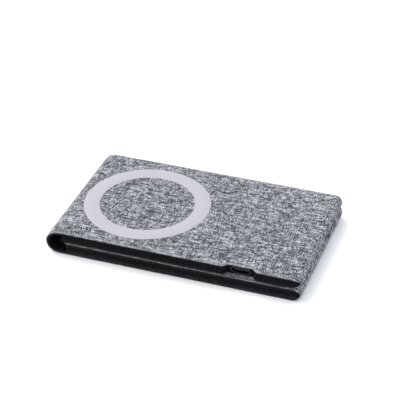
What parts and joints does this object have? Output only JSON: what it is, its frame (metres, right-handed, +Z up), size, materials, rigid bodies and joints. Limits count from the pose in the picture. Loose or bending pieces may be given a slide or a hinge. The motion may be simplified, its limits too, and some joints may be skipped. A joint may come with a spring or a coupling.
{
  "type": "folding wireless charging pad",
  "caption": "Fabric-covered folding wireless charger: a thin charging cover with a pale magnetic ring and a port notch, joined to a stiff base leaf by a soft spine.",
  "frame": {"origin": "bottom centre of the closed pad, on the surface it lies on", "axes": "+X from the spine to the free ends, -Y towards the side with the port notch, +Z up out of the charging face"},
  "size_m": [0.122, 0.073, 0.0116],
  "materials": {
    "grey_fabric": "grey melange woven polyester, dry matt",
    "inner_fabric": "grey melange woven polyester, dry matt",
    "black_edge": "black pressed and sealed edge, satin",
    "ring_film": "pale grey printed film, smooth matt",
    "black_lining": "black synthetic leather laminate",
    "housing_plastic": "black moulded plastic, fine spark texture",
    "magnet_nickel": "nickel plated",
    "yoke_steel": "zinc plated sheet steel",
    "carrier_plastic": "natural moulded plastic",
    "copper_wire": "enamelled copper",
    "sensor_epoxy": "blue dipped epoxy",
    "ferrite": "dark sintered ferrite",
    "spreader_copper": "thin rolled copper",
    "circuit_board": "green solder mask",
    "chip_epoxy": "black moulded epoxy",
    "capacitor_ceramic": "tan ceramic",
    "socket_steel": "drawn stainless steel with black nickel plating",
    "socket_plastic": "black glass filled plastic",
    "bezel_plastic": "black satin plastic",
    "screw_steel": "zinc plated steel",
    "fibreboard": "pressed fibre board",
    "core_foam": "closed cell foam"
  },
  "bodies": {
    "base": {"base_outer_fabric": "grey_fabric", "base_inner_fabric": "inner_fabric", "base_front_edge": "black_edge", "base_back_edge": "black_edge", "base_hinge_lining": "black_lining", "base_lower_stiffener": "fibreboard", "base_upper_stiffener": "fibreboard", "base_foam_core": "core_foam", "base_closure_plates": "yoke_steel"},
    "spine_1": {"spine_fabric_1": "grey_fabric", "spine_lining_1": "black_lining"},
    "spine_2": {"spine_fabric_2": "grey_fabric", "spine_lining_2": "black_lining"},
    "cover": {"cover_outer_fabric": "grey_fabric", "cover_inner_fabric": "inner_fabric", "cover_front_edge": "black_edge", "cover_back_edge": "black_edge", "charging_ring": "ring_film", "cover_hinge_lining": "black_lining", "upper_housing": "housing_plastic", "lower_housing": "housing_plastic", "magnet_ring": "magnet_nickel", "magnet_yoke": "yoke_steel", "coil_carrier": "carrier_plastic", "transmitter_coil": "copper_wire", "coil_leads": "copper_wire", "coil_thermistor": "sensor_epoxy", "ferrite_shield": "ferrite", "heat_spreader": "spreader_copper", "control_board": "circuit_board", "controller_chip": "chip_epoxy", "power_transistors": "chip_epoxy", "resonant_capacitors": "capacitor_ceramic", "power_inductor": "ferrite", "usb_c_shell": "socket_steel", "usb_c_tongue": "socket_plastic", "port_bezel": "bezel_plastic", "board_screws": "screw_steel", "cover_closure_magnets": "magnet_nickel"}
  },
  "joints": [
    {"name": "spine_bend_1", "type": "hinge", "parent": "base", "child": "spine_1", "pos_m": [-0.05813, 0, 0.00077], "axis": [0, -1, 0], "range_deg": [0, 60]},
    {"name": "spine_bend_2", "type": "hinge", "parent": "spine_1", "child": "spine_2", "pos_m": [-0.061, 0, 0.00575], "axis": [0, -1, 0], "range_deg": [0, 60]},
    {"name": "spine_bend_3", "type": "hinge", "parent": "spine_2", "child": "cover", "pos_m": [-0.05813, 0, 0.01073], "axis": [0, -1, 0], "range_deg": [0, 60]}
  ],
  "couplings": [
    {"joint": "spine_bend_1", "follows": "spine_bend_2", "ratio": 1},
    {"joint": "spine_bend_3", "follows": "spine_bend_2", "ratio": 1}
  ]
}
